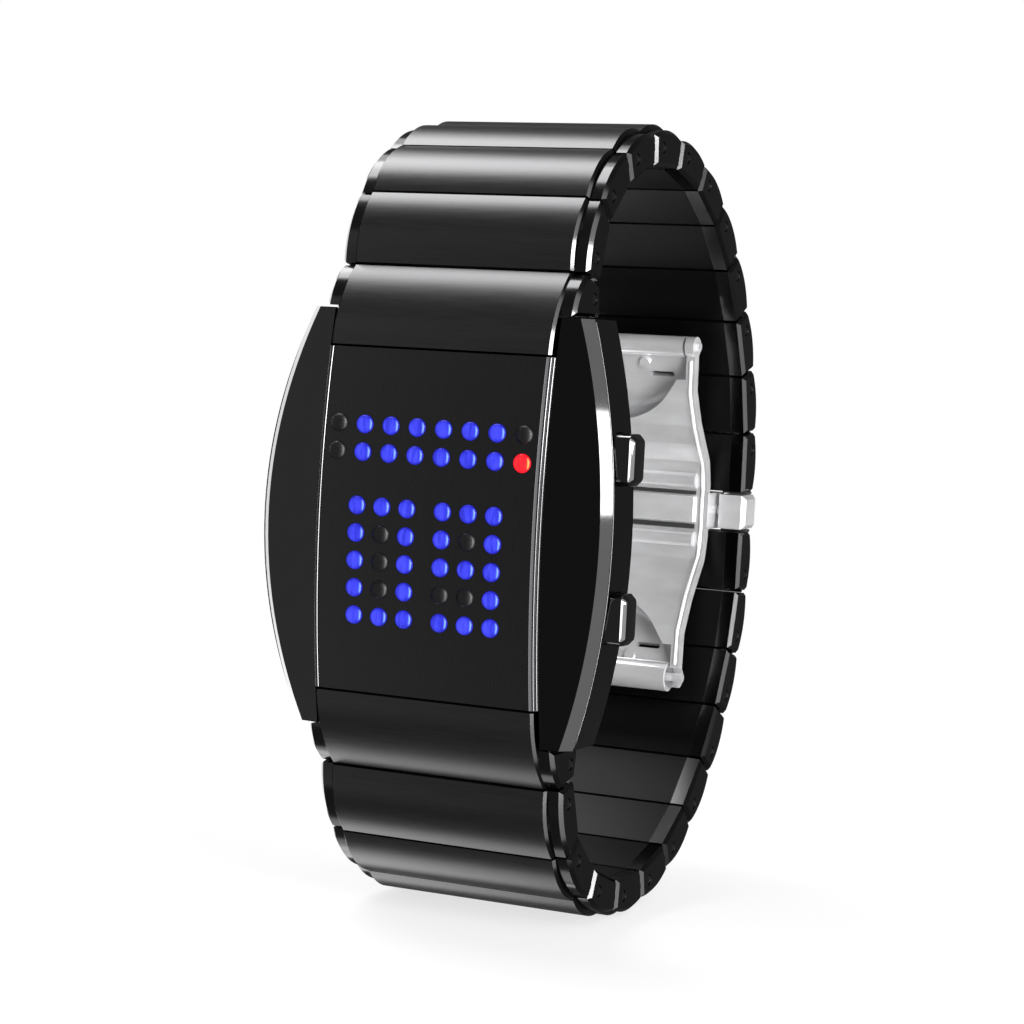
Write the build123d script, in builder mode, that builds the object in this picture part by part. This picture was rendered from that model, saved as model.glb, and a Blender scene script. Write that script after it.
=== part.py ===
from build123d import *
import math
import os

os.makedirs("parts", exist_ok=True)

# A binary LED watch on a steel link bracelet, closed into a ring by a butterfly clasp.
# X points to 3 o'clock, Z to 12 o'clock and -Y out of the display. The origin is the middle of
# the case back's outer face, which lies on the wrist. Depths are measured back from the display.

# Case
case_depth = 9.0
case_half_height = 17.45
case_half_width = 15.9
case_end_half_width = 12.7
front_radius = 88.0
wing_inner_depth = 0.5
wing_outer_depth = 0.95
wing_hollow = 0.12
bevel = 0.8
wall_back_depth = 5.9
housing_half_width = 13.2
housing_half_height = 15.4
housing_corner = 3.0
cavity_half_width = 11.0
cavity_half_height = 12.6
cavity_corner = 2.0
cavity_front_depth = 3.0
window_half_width = 9.4
window_half_height = 10.2
overrun = 1.0
slip = 0.03

# Display plate
plate_half_width = 10.25
plate_half_height = 14.25
plate_thickness = 1.0
plate_edge_width = 0.6
plate_edge_depth = 0.45

# LEDs
led_radius = 0.75
led_clearance = 0.03
led_crown = 0.25
led_sink = 0.1
top_pitch = 2.4
digit_pitch = 2.3
digit_gap = 3.245
led_row_pitch = 2.273
top_row_height = 7.97
digit_row_height = 1.3
top_row_count = 8
digit_row_count = 5
digit_columns = 3

# Module
board_thickness = 0.7
board_half_width = 9.85
board_half_height = 12.2
cell_radius = 10.0
cell_thickness = 1.6
cell_edge = 0.3
holder_web = 1.0
holder_clearance = 0.15
chip_size = 5.0
chip_thickness = 0.85
crystal_radius = 0.75
crystal_length = 6.0
switch_width = 1.2
switch_height = 2.4
switch_thickness = 1.3
clip_gauge = 0.1
clip_width = 4.4

# Case back
back_thickness = 0.9
back_half_width = 12.9
back_half_height = 15.1
back_edge = 0.3
gasket_width = 0.6
gasket_thickness = 0.5
gasket_offset = 0.45
screw_radius = 0.5
screw_length = 2.4
screw_head_radius = 0.85
screw_head_depth = 0.5
screw_inset = 1.05
screw_slot_width = 0.25
screw_slot_depth = 0.2

# Case buttons
button_height = 6.4
button_depth = 3.65
button_long = 4.2
button_thick = 2.8
button_corner = 0.8
button_stand = 1.2
button_seat = 0.45
button_travel = 0.45
button_edge = 0.3
button_reach = case_half_width + button_stand
button_root = case_half_width - button_seat
pocket_spare = 0.15
pocket_clearance = 0.06
pocket_floor = button_root - button_travel - pocket_spare
stem_radius = 0.6
stem_clearance = 0.04
spring_radius = 1.15
spring_gauge = 0.3
seal_place_share = 0.18
seal_width_share = 0.18
button_wall = pocket_floor - cavity_half_width
seal_seat = cavity_half_width + button_wall * seal_place_share
seal_width = button_wall * seal_width_share
clip_radius = 1.1
clip_thickness = 0.3
clip_clearance = 0.05
clip_place = cavity_half_width - clip_clearance - clip_thickness
stem_inner = clip_place - clip_thickness

# Bracelet, as the side view shows it: the first hinge, then the way each link points,
# in degrees from 12 o'clock towards the clasp
first_hinge_depth = 6.4
first_hinge_height = 19.1
first_pitch = 3.3
link_pitch = 5.9
link_headings = (0, 28, 55, 76, 94, 110, 125, 137.5, 148, 158, 169, 180)
seam_lead = 1.6
seam_gap = 0.26
hinge_height = 1.5
ear_half_width = 11.3
ear_shoulder = 2.6
ear_crown = 0.6
ear_edge = 0.3
bar_half_width = 10.0
bar_shoulder = 2.95
bar_crown = 0.75
bar_edge = 0.22
pin_radius = 0.5
pin_fit = 0.01
pin_run = 0.04
pin_sink = 0.12
tongue_half_width = 4.9
tongue_radius = 0.95
tongue_half_thickness = 0.8
pocket_side_gap = 0.12
pocket_radius = 1.15
slot_half_height = 1.1

# First link, whose bar reaches down between the wings
apron_height = 14.45
apron_front_depth = 1.12
apron_thickness = 1.3
apron_bulge_depth = 2.05
apron_bulge_height = 17.8
apron_side_gap = 0.25
apron_floor_gap = 0.35
first_ear_front_depth = 2.55
first_ear_bulge_depth = 3.35
first_ear_bulge_height = 19.5

# Clasp: the bridge's rails and the blades behind them
barrel_depth = 38.9
barrel_height = 15.5
barrel_radius = 0.95
barrel_bore = 0.44
barrel_pin_radius = 0.4
free_barrel_radius = 1.4
free_barrel_bore = 1.04
rail_inner = 7.25
rail_outer = 8.1
rail_gauge = 1.0
rail_route = ((0.15, 11.3), (1.75, 8.2), (3.0, 6.5), (4.5, 4.6), (5.0, 2.6))
rail_bend = 1.6
sheet_gauge = 0.6
sheet_setback = 0.2
sheet_end_height = 12.4
window_radius = 7.0
window_height = 15.4
block_half_width = 8.3
block_half_height = 1.7
block_front_depth = 43.4
block_back_depth = 48.0
block_edge = 0.35
tip_depth = 45.6
tip_height = 3.4
tip_radius = 0.85
tip_half_width = 3.4
tip_pin_radius = 0.4
tip_pin_half_length = 4.8
tip_side_gap = 0.15
tip_pocket_radius = 1.0
blade_gauge = 0.7
blade_half_width = 7.0
blade_shoulder_depth = 43.9
blade_shoulder_height = 5.6
blade_throat_depth = 44.75
blade_throat_height = 4.2
blade_slot_length = 2.4
blade_slot_width = 0.5
blade_slot_spread = 4.4
blade_slot_place = 2.8
rivet_radius = 0.5
rivet_height = 0.25
rivet_spread = 2.8
rivet_place = 1.6
pin_overhang = 0.3
last_link_end = 1.95

# Pushers
pusher_outer = 11.45
pusher_inner = 8.85
pusher_half_height = 1.62
pusher_front_depth = 45.0
pusher_back_depth = 48.3
pusher_edge = 0.4
pusher_stem_radius = 0.7
pusher_stem_inner = 5.2
pusher_spring_length = 1.2
pusher_spring_gauge = 0.2
pusher_travel = 0.5


def depth(value):
    """Row place along Y of a depth measured back from the display."""
    return value - case_depth


def sunk(radius_depth, height):
    """Depth at a height on a front surface that is bent about a crosswise axis."""
    return radius_depth + front_radius - math.sqrt(front_radius**2 - height**2)


bend_axis = Axis((0, depth(front_radius), 0), (1, 0, 0))


def write(piece, name):
    piece.label = name
    export_step(piece, f"parts/{name}.step")


# Places along the bracelet

headings = (0,) + link_headings + (link_headings[-1],)
pivots = [Vector(depth(first_hinge_depth), first_hinge_height)]
for number, heading in enumerate(link_headings):
    pitch = link_pitch if number else first_pitch
    way = math.radians(heading)
    pivots.append(pivots[-1] + Vector(math.sin(way), math.cos(way)) * pitch)
link_count = len(link_headings)
barrel = Vector(depth(barrel_depth), barrel_height)
tip = Vector(depth(tip_depth), tip_height)


def seam(number):
    """Middle of the gap ahead of a pivot, the way along the band there, and the way out."""
    way = math.radians((headings[number] + headings[number + 1]) / 2)
    along = Vector(math.sin(way), math.cos(way))
    outward = Vector(-math.cos(way), math.sin(way))
    return pivots[number] - along * seam_lead, along, outward


# Case body

with BuildPart() as case_body:
    # front slab, bent about the crosswise axis and trimmed to the barrel-shaped outline
    with BuildSketch(Plane.XY):
        with BuildLine():
            seat = Polyline(
                (0, depth(plate_thickness + slip)),
                (plate_half_width + slip, depth(plate_thickness + slip)),
                (plate_half_width + slip, depth(wing_inner_depth)),
            )
            wing = ThreePointArc(
                seat @ 1,
                (
                    (plate_half_width + case_half_width) / 2,
                    depth((wing_inner_depth + wing_outer_depth) / 2 + wing_hollow),
                ),
                (case_half_width + overrun, depth(wing_outer_depth)),
            )
            Polyline(
                wing @ 1,
                (case_half_width + overrun, depth(wall_back_depth)),
                (0, depth(wall_back_depth)),
            )
            mirror(about=Plane.YZ)
        make_face()
    revolve(axis=bend_axis)
    with BuildSketch(Plane.XZ):
        with BuildLine():
            right = ThreePointArc(
                (case_end_half_width, -case_half_height),
                (case_half_width, 0),
                (case_end_half_width, case_half_height),
            )
            Line(right @ 1, (0, case_half_height))
            Line(right @ 0, (0, -case_half_height))
            mirror(about=Plane.YZ)
        make_face()
    extrude(amount=case_depth * 2, both=True, mode=Mode.INTERSECT)
    walls = case_body.faces().sort_by(Axis.X)
    chamfer([wall.edges().sort_by(Axis.Y)[0] for wall in (walls[0], walls[-1])], bevel)
    # housing behind the slab, for the module
    housing_front = depth(wall_back_depth - overrun)
    housing_back = depth(case_depth - back_thickness)
    with BuildSketch(Plane.XZ.offset(-housing_back)):
        RectangleRounded(housing_half_width * 2, housing_half_height * 2, housing_corner)
    extrude(amount=housing_back - housing_front)
    # lugs that reach into the first links
    for side in (1, -1):
        with BuildSketch(Plane.YZ):
            with Locations((pivots[0].X, side * pivots[0].Y)):
                Circle(tongue_radius)
            lug_root = case_half_height - overrun
            with Locations((pivots[0].X, side * (pivots[0].Y + lug_root) / 2)):
                Rectangle(tongue_half_thickness * 2, pivots[0].Y - lug_root)
        extrude(amount=tongue_half_width, both=True)
        with BuildSketch(Plane.YZ):
            with Locations((pivots[0].X, side * pivots[0].Y)):
                Circle(pin_radius + pin_run)
        extrude(amount=tongue_half_width, both=True, mode=Mode.SUBTRACT)
        # seat of the first link's apron
        with BuildSketch(Plane.YZ):
            with BuildLine():
                Polyline(
                    (depth(0) - overrun, side * (plate_half_height + slip)),
                    (
                        depth(apron_front_depth + apron_thickness + apron_floor_gap),
                        side * (plate_half_height + slip),
                    ),
                    (
                        depth(first_ear_front_depth + apron_thickness + apron_floor_gap),
                        side * (case_half_height + slip),
                    ),
                    (depth(0) - overrun, side * (case_half_height + slip)),
                    close=True,
                )
            make_face()
        extrude(amount=bar_half_width + apron_side_gap, both=True, mode=Mode.SUBTRACT)
    # module cavity from the back, and the window behind the plate
    with BuildSketch(Plane.XZ.offset(-housing_back)):
        RectangleRounded(cavity_half_width * 2, cavity_half_height * 2, cavity_corner)
    extrude(amount=housing_back - depth(cavity_front_depth), mode=Mode.SUBTRACT)
    with BuildSketch(Plane.XZ.offset(-depth(cavity_front_depth + slip))):
        Rectangle(window_half_width * 2, window_half_height * 2)
    extrude(amount=cavity_front_depth, mode=Mode.SUBTRACT)
    # groove for the back's gasket
    gasket_half_width = cavity_half_width + gasket_offset + gasket_width
    gasket_half_height = cavity_half_height + gasket_offset + gasket_width
    gasket_corner = cavity_corner + gasket_offset + gasket_width
    with BuildSketch(Plane.XZ.offset(-housing_back)) as gasket_ring:
        RectangleRounded(gasket_half_width * 2, gasket_half_height * 2, gasket_corner)
        RectangleRounded(
            (gasket_half_width - gasket_width) * 2,
            (gasket_half_height - gasket_width) * 2,
            gasket_corner - gasket_width,
            mode=Mode.SUBTRACT,
        )
    extrude(amount=gasket_thickness, mode=Mode.SUBTRACT)
    # tapped holes of the back's screws
    screw_x = back_half_width - screw_inset
    screw_z = back_half_height - screw_inset
    with BuildSketch(Plane.XZ.offset(-housing_back)):
        with GridLocations(screw_x * 2, screw_z * 2, 2, 2):
            Circle(screw_radius + pin_fit)
    extrude(amount=screw_length, mode=Mode.SUBTRACT)
    # button bores and the pockets of their caps
    for side in (1, -1):
        button_plane = Plane.YZ.offset(case_half_width + overrun)
        with BuildSketch(button_plane):
            with Locations((depth(button_depth), side * button_height)):
                RectangleRounded(
                    button_thick + pocket_clearance * 2,
                    button_long + pocket_clearance * 2,
                    button_corner,
                )
        extrude(amount=-(case_half_width + overrun - pocket_floor), mode=Mode.SUBTRACT)
        with BuildSketch(button_plane):
            with Locations((depth(button_depth), side * button_height)):
                Circle(spring_radius + slip)
        extrude(amount=-(case_half_width + overrun - seal_seat), mode=Mode.SUBTRACT)
        with BuildSketch(button_plane):
            with Locations((depth(button_depth), side * button_height)):
                Circle(stem_radius + stem_clearance)
        extrude(amount=-(case_half_width + overrun * 2 - cavity_half_width), mode=Mode.SUBTRACT)
        # room for the stem's clip behind the front wall
        with BuildSketch(Plane.YZ.offset(cavity_half_width)):
            with Locations((depth(button_depth), side * button_height)):
                Circle(clip_radius + stem_clearance)
        extrude(amount=-(cavity_half_width - clip_place + button_travel + slip), mode=Mode.SUBTRACT)
write(case_body.part, "case_body")


# Display plate, brushed, with a hole for each LED


def led_places():
    """Every LED as (x, z, lit colour): two rows of eight over two digits of three by five."""
    zero = ("111", "101", "101", "101", "111")
    nine = ("111", "101", "111", "001", "111")
    top = (".bbbbbb.", ".bbbbbbr")
    marks = {"b": "blue", "r": "red", ".": "dark", "1": "blue", "0": "dark"}
    places = []
    for row, lit in enumerate(top):
        for column, mark in enumerate(lit):
            x = (column - (top_row_count - 1) / 2) * top_pitch
            places.append((x, top_row_height - row * led_row_pitch, marks[mark]))
    for row in range(digit_row_count):
        for column, mark in enumerate(zero[row] + nine[row]):
            left = column < digit_columns
            step = digit_columns - 1 - column if left else column - digit_columns
            half = digit_gap / 2 + digit_pitch * step
            x = -half if left else half
            places.append((x, digit_row_height - row * led_row_pitch, marks[mark]))
    return places


with BuildPart() as display_plate:
    with BuildSketch(Plane.XY):
        with BuildLine():
            Polyline(
                (0, depth(0)),
                (plate_half_width - plate_edge_width, depth(0)),
                (plate_half_width, depth(plate_edge_depth)),
                (plate_half_width, depth(plate_thickness)),
                (0, depth(plate_thickness)),
            )
            mirror(about=Plane.YZ)
        make_face()
    revolve(axis=bend_axis)
    with BuildSketch(Plane.XZ.offset(-depth(0) - cavity_front_depth)):
        Rectangle(plate_half_width * 2, plate_half_height * 2)
    extrude(amount=cavity_front_depth * 2, mode=Mode.INTERSECT)
    with BuildSketch(Plane.XZ.offset(-depth(0) - cavity_front_depth)):
        with Locations([(x, z) for x, z, lit in led_places()]):
            Circle(led_radius)
    extrude(amount=cavity_front_depth * 2, mode=Mode.SUBTRACT)
write(display_plate.part, "display_plate")


# LEDs, standing on the board with their crowns just under the plate's face

for colour, name in (("blue", "blue_leds"), ("red", "red_led"), ("dark", "dark_leds")):
    with BuildPart() as leds:
        for x, z, lit in led_places():
            if lit == colour:
                crown_depth = sunk(led_sink, z)
                with BuildSketch(Plane.XZ.offset(-depth(cavity_front_depth))):
                    with Locations((x, z)):
                        Circle(led_radius - led_clearance)
                extrude(amount=cavity_front_depth - crown_depth)
        fronts = leds.faces().filter_by(Axis.Y).filter_by(
            lambda face: face.center().Y < depth(cavity_front_depth - plate_thickness)
        )
        chamfer(fronts.edges(), led_crown)
    write(leds.part, name)


# Circuit board and what it carries

board_back_depth = cavity_front_depth + board_thickness
cell_front_depth = board_back_depth + holder_web
holder_back_depth = cell_front_depth + cell_thickness * 2 + holder_clearance / 2
with BuildPart() as circuit_board:
    with BuildSketch(Plane.XZ.offset(-depth(board_back_depth))):
        RectangleRounded(board_half_width * 2, board_half_height * 2, cavity_corner)
    extrude(amount=board_thickness)
write(circuit_board.part, "circuit_board")

with BuildPart() as controller_chip:
    with BuildSketch(Plane.XZ.offset(-depth(board_back_depth + chip_thickness))):
        Rectangle(chip_size, chip_size)
    extrude(amount=chip_thickness)
write(controller_chip.part, "controller_chip")

crystal_height = board_half_height - crystal_radius
crystal_depth = board_back_depth + crystal_radius
with BuildPart() as quartz_crystal:
    with BuildSketch(Plane.YZ):
        with Locations((depth(crystal_depth), crystal_height)):
            Circle(crystal_radius)
    extrude(amount=crystal_length / 2, both=True)
write(quartz_crystal.part, "quartz_crystal")

switch_x = board_half_width - switch_width / 2
with BuildPart() as push_switches:
    with BuildSketch(Plane.XZ.offset(-depth(board_back_depth + switch_thickness))):
        with Locations((switch_x, button_height), (switch_x, -button_height)):
            Rectangle(switch_width, switch_height)
    extrude(amount=switch_thickness)
write(push_switches.part, "push_switches")

with BuildPart() as module_holder:
    holder_half_width = cavity_half_width - holder_clearance
    holder_half_height = cavity_half_height - holder_clearance
    with BuildSketch(Plane.XZ.offset(-depth(holder_back_depth))):
        RectangleRounded(holder_half_width * 2, holder_half_height * 2, cavity_corner)
    extrude(amount=holder_back_depth - board_back_depth)
    with BuildSketch(Plane.XZ.offset(-depth(holder_back_depth))):
        Circle(cell_radius + holder_clearance)
    extrude(amount=holder_back_depth - cell_front_depth, mode=Mode.SUBTRACT)
    with BuildSketch(Plane.XZ.offset(-depth(cell_front_depth))):
        Rectangle(chip_size + holder_clearance * 2, chip_size + holder_clearance * 2)
    extrude(amount=holder_web, mode=Mode.SUBTRACT)
    with BuildSketch(Plane.XZ.offset(-depth(crystal_depth + crystal_radius + holder_clearance))):
        with Locations((0, crystal_height)):
            Rectangle(
                crystal_length + holder_clearance * 2, (crystal_radius + holder_clearance) * 2
            )
    extrude(amount=crystal_radius * 2 + holder_clearance, mode=Mode.SUBTRACT)
    with BuildSketch(Plane.XZ.offset(-depth(board_back_depth + switch_thickness + holder_clearance))):
        for side in (1, -1):
            with Locations((cavity_half_width - switch_height / 2, side * button_height)):
                Rectangle(switch_height + holder_clearance, switch_height + holder_clearance * 2)
    extrude(amount=switch_thickness + holder_clearance, mode=Mode.SUBTRACT)
write(module_holder.part, "module_holder")

with BuildPart() as coin_cells:
    for layer in range(2):
        cell_back = cell_front_depth + cell_thickness * (layer + 1) - slip
        with BuildSketch(Plane.XZ.offset(-depth(cell_back))):
            Circle(cell_radius)
        extrude(amount=cell_thickness - slip)
    rims = coin_cells.edges().filter_by(GeomType.CIRCLE).group_by(Axis.Y)
    chamfer(rims[-1], cell_edge)
    chamfer(coin_cells.edges().filter_by(GeomType.CIRCLE).group_by(Axis.Y)[1], cell_edge)
write(coin_cells.part, "coin_cells")

with BuildPart() as battery_clip:
    with BuildSketch(Plane.XZ.offset(-depth(holder_back_depth + clip_gauge))):
        SlotOverall(holder_half_width * 2, clip_width)
    extrude(amount=clip_gauge)
write(battery_clip.part, "battery_clip")


# Case back, its gasket and screws

with BuildPart() as case_gasket:
    with BuildSketch(Plane.XZ.offset(-housing_back)):
        RectangleRounded(gasket_half_width * 2, gasket_half_height * 2, gasket_corner)
        RectangleRounded(
            (gasket_half_width - gasket_width) * 2,
            (gasket_half_height - gasket_width) * 2,
            gasket_corner - gasket_width,
            mode=Mode.SUBTRACT,
        )
    extrude(amount=gasket_thickness)
write(case_gasket.part, "case_gasket")

with BuildPart() as case_back:
    with BuildSketch(Plane.XZ):
        RectangleRounded(back_half_width * 2, back_half_height * 2, housing_corner)
    extrude(amount=back_thickness)
    chamfer(case_back.faces().sort_by(Axis.Y)[-1].edges(), back_edge)
    with BuildSketch(Plane.XZ):
        with GridLocations(screw_x * 2, screw_z * 2, 2, 2):
            Circle(screw_radius + stem_clearance)
    extrude(amount=back_thickness, mode=Mode.SUBTRACT)
    with BuildSketch(Plane.XZ):
        with GridLocations(screw_x * 2, screw_z * 2, 2, 2):
            Circle(screw_head_radius + stem_clearance)
    extrude(amount=screw_head_depth, mode=Mode.SUBTRACT)
write(case_back.part, "case_back")

with BuildPart() as case_back_screws:
    head_back = Plane.XZ.offset(slip)
    with BuildSketch(head_back):
        with GridLocations(screw_x * 2, screw_z * 2, 2, 2):
            Circle(screw_head_radius)
    extrude(amount=screw_head_depth - slip)
    with BuildSketch(head_back):
        with GridLocations(screw_x * 2, screw_z * 2, 2, 2):
            Circle(screw_radius)
    extrude(amount=back_thickness + screw_length - screw_head_depth)
    with BuildSketch(head_back):
        with GridLocations(screw_x * 2, screw_z * 2, 2, 2):
            Rectangle(screw_head_radius * 2, screw_slot_width)
    extrude(amount=screw_slot_depth, mode=Mode.SUBTRACT)
write(case_back_screws.part, "case_back_screws")


# Case buttons: cap and stem, with a return spring, a seal and a clip that holds the stem

for side, name in ((1, "upper_button"), (-1, "lower_button")):
    place = (depth(button_depth), side * button_height)
    with BuildPart() as button:
        with BuildSketch(Plane.YZ.offset(button_root)):
            with Locations(place):
                RectangleRounded(button_thick, button_long, button_corner)
        extrude(amount=button_reach - button_root)
        chamfer(button.faces().sort_by(Axis.X)[-1].edges(), button_edge)
        with BuildSketch(Plane.YZ.offset(stem_inner)):
            with Locations(place):
                Circle(stem_radius)
        extrude(amount=button_root - stem_inner)
        with BuildSketch(Plane.YZ.offset(clip_place - slip)):
            with Locations(place):
                Circle(stem_radius)
                Circle(stem_radius / 2, mode=Mode.SUBTRACT)
        extrude(amount=clip_thickness + slip * 2, mode=Mode.SUBTRACT)
    write(button.part, name)
    with BuildPart() as clip:
        with BuildSketch(Plane.YZ.offset(clip_place)):
            with Locations(place):
                Circle(clip_radius)
                Circle(stem_radius / 2 + slip, mode=Mode.SUBTRACT)
            with Locations((place[0] + clip_radius / 2, place[1])):
                Rectangle(clip_radius, stem_radius, mode=Mode.SUBTRACT)
        extrude(amount=clip_thickness)
    write(clip.part, f"{name}_clip")

with BuildPart() as button_springs:
    spring_seat = seal_seat + seal_width
    for side in (1, -1):
        with BuildSketch(Plane.YZ.offset(spring_seat)):
            with Locations((depth(button_depth), side * button_height)):
                Circle(spring_radius - slip)
                Circle(spring_radius - spring_gauge, mode=Mode.SUBTRACT)
        extrude(amount=button_root - button_travel - slip - spring_seat)
write(button_springs.part, "button_springs")

with BuildPart() as button_seals:
    for side in (1, -1):
        with BuildSketch(Plane.YZ.offset(seal_seat)):
            with Locations((depth(button_depth), side * button_height)):
                Circle(spring_radius - slip)
                Circle(stem_radius + slip, mode=Mode.SUBTRACT)
        extrude(amount=seal_width)
write(button_seals.part, "button_seals")


# Bracelet links


def make_link(number, side, name):
    """A base with ears, a raised bar, a pocket and pin at its case end and a tongue beyond."""
    last = number == link_count - 1
    start, along, outward = seam(number)
    start = start + along * seam_gap / 2
    if last:
        end, end_along, end_outward = Vector(pivots[-1].X, last_link_end), Vector(0, -1), Vector(1, 0)
    else:
        end, end_along, end_outward = seam(number + 1)
        end = end - end_along * seam_gap / 2
    way = math.radians(link_headings[number])
    normal = Vector(-math.cos(way), math.sin(way))

    def at(point):
        return (point.X, side * point.Y)

    foot = start - outward * hinge_height
    heel = end - end_outward * hinge_height

    def outline(shoulder, crown):
        """Outer edge of a link from its case end to its far end, as three points of an arc."""
        brow = start + outward * (shoulder - hinge_height)
        rear = end + end_outward * (shoulder - hinge_height)
        return brow, (brow + rear) / 2 + normal * crown, rear

    brow, middle, rear = outline(bar_shoulder, bar_crown)
    under = [heel, foot]
    if number == 0:
        brow = Vector(depth(apron_front_depth), apron_height)
        middle = Vector(depth(apron_bulge_depth), apron_bulge_height)
        under.append(Vector(depth(first_ear_front_depth + apron_thickness), start.Y))
        under.append(Vector(depth(apron_front_depth + apron_thickness), apron_height))
    with BuildPart() as bar:
        with BuildSketch(Plane.YZ):
            with BuildLine():
                ThreePointArc(at(brow), at(middle), at(rear))
                Polyline(at(rear), *[at(point) for point in under], at(brow))
            make_face()
        extrude(amount=bar_half_width, both=True)
        ends = bar.faces().filter_by(Axis.X).edges().filter_by(GeomType.CIRCLE)
        chamfer(ends, bar_edge)

    brow, middle, rear = outline(ear_shoulder, ear_crown)
    if number == 0:
        brow = Vector(depth(first_ear_front_depth), start.Y)
        middle = Vector(depth(first_ear_bulge_depth), first_ear_bulge_height)
    with BuildPart() as link:
        with BuildSketch(Plane.YZ):
            with BuildLine():
                ThreePointArc(at(brow), at(middle), at(rear))
                Polyline(at(rear), at(heel), at(foot), at(brow))
            make_face()
        extrude(amount=ear_half_width, both=True)
        chamfer(link.faces().filter_by(Axis.X).edges(), ear_edge)
        add(bar.part)
        # pocket around the pin, open towards the neighbour's tongue
        with BuildSketch(Plane.YZ):
            with Locations(at(pivots[number])):
                Circle(pocket_radius)
            throat = pivots[number] - along * (seam_lead + overrun) / 2
            angle = math.degrees(math.atan2(side * along.Y, along.X))
            with Locations(Location(Vector(*at(throat)), angle)):
                Rectangle(seam_lead + overrun, slot_half_height * 2)
        extrude(amount=tongue_half_width + pocket_side_gap, both=True, mode=Mode.SUBTRACT)
        with BuildSketch(Plane.YZ):
            with Locations(at(pivots[number])):
                Circle(pin_radius + pin_fit)
        extrude(amount=ear_half_width, both=True, mode=Mode.SUBTRACT)
        if not last:
            reach = pivots[number + 1]
            root = reach - end_along * (seam_lead + overrun / 2) / 2
            angle = math.degrees(math.atan2(side * end_along.Y, end_along.X))
            with BuildSketch(Plane.YZ):
                with Locations(at(reach)):
                    Circle(tongue_radius)
                with Locations(Location(Vector(*at(root)), angle)):
                    Rectangle(seam_lead + overrun / 2, tongue_half_thickness * 2)
            extrude(amount=tongue_half_width, both=True)
            with BuildSketch(Plane.YZ):
                with Locations(at(reach)):
                    Circle(pin_radius + pin_run)
            extrude(amount=tongue_half_width, both=True, mode=Mode.SUBTRACT)
        else:
            with BuildSketch(Plane.YZ):
                with Locations(at(tip)):
                    Circle(tip_pocket_radius)
                with BuildLine():
                    Polyline(
                        at(tip + Vector(0, -tip_pocket_radius)),
                        at(Vector(heel.X - overrun, tip_height - tip_pocket_radius)),
                        at(Vector(heel.X - overrun, blade_throat_height + overrun)),
                        at(tip + Vector(0, tip_pocket_radius)),
                        close=True,
                    )
                make_face()
            extrude(amount=tip_half_width + tip_side_gap, both=True, mode=Mode.SUBTRACT)
            with BuildSketch(Plane.YZ):
                with Locations(at(tip)):
                    Circle(tip_pin_radius + pin_fit)
            extrude(amount=tip_pin_half_length, both=True, mode=Mode.SUBTRACT)
            with BuildSketch(Plane.YZ):
                with Locations(at(tip)):
                    Circle(tip_pin_radius)
            extrude(amount=tip_pin_half_length - pin_fit, both=True)
        with BuildSketch(Plane.YZ):
            with Locations(at(pivots[number])):
                Circle(pin_radius)
        extrude(amount=ear_half_width - pin_sink, both=True)
    write(link.part, name)


for side, hour in ((1, "12h"), (-1, "6h")):
    for number in range(link_count):
        make_link(number, side, f"link_{hour}_{number + 1:02d}")


# Clasp


def rail_points(setback):
    """The bridge's side view from the barrel to the middle, pushed towards the wrist."""
    points = [(depth(barrel_depth - setback), barrel_height)]
    for step, height in rail_route:
        points.append((depth(barrel_depth + step - setback), height))
    return points


pusher_depth = (pusher_front_depth + pusher_back_depth) / 2

with BuildPart() as clasp_frame:
    # rails with an eye at each end, and the sheet between them
    for side in (1, -1):
        flip = [(y, side * z) for y, z in rail_points(0)]
        with BuildSketch(Plane.YZ.offset(rail_inner)):
            with BuildLine() as rail_line:
                FilletPolyline(*flip, (flip[-1][0], 0), radius=rail_bend)
            trace(rail_line.edges(), rail_gauge)
            with Locations(flip[0]):
                Circle(barrel_radius)
        extrude(amount=rail_outer - rail_inner)
        flip = [(y, side * z) for y, z in rail_points(sheet_setback)]
        with BuildSketch(Plane.YZ):
            with BuildLine() as sheet_line:
                FilletPolyline(*flip, (flip[-1][0], 0), radius=rail_bend)
            trace(sheet_line.edges(), sheet_gauge)
        extrude(amount=rail_inner + slip)
        with BuildSketch(Plane.YZ.offset(rail_inner)):
            with Locations(flip[0]):
                Circle(barrel_radius)
    for side in (1, -1):
        with BuildSketch(Plane.XZ.offset(-depth(block_front_depth))):
            with Locations((0, side * window_height)):
                Circle(window_radius)
                Rectangle(rail_inner * 2, (window_height - sheet_end_height) * 2)
        extrude(amount=block_front_depth - barrel_depth + barrel_radius * 2, mode=Mode.SUBTRACT)
        with BuildSketch(Plane.YZ):
            with Locations((barrel.X, side * barrel.Y)):
                Circle(barrel_pin_radius + pin_fit)
        extrude(amount=rail_outer, mode=Mode.SUBTRACT)
    mirror(about=Plane.YZ)
    # centre block, which carries the pushers
    with BuildSketch(Plane.YZ):
        with Locations(((depth(block_front_depth) + depth(block_back_depth)) / 2, 0)):
            Rectangle(block_back_depth - block_front_depth, block_half_height * 2)
        chamfer(vertices().group_by(Axis.X)[-1], block_edge)
    extrude(amount=block_half_width, both=True)
    for end in (1, -1):
        with BuildSketch(Plane.YZ.offset(end * block_half_width)):
            with Locations((depth(pusher_depth), 0)):
                Circle(pusher_stem_radius + stem_clearance)
        bore_length = block_half_width - pusher_stem_inner + pusher_spring_length + pusher_travel
        extrude(amount=-end * (bore_length + slip), mode=Mode.SUBTRACT)
write(clasp_frame.part, "clasp_frame")

with BuildPart() as clasp_pins:
    for side in (1, -1):
        with BuildSketch(Plane.YZ):
            with Locations((barrel.X, side * barrel.Y)):
                Circle(barrel_pin_radius)
        extrude(amount=rail_outer + pin_overhang, both=True)
write(clasp_pins.part, "clasp_pins")


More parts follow.
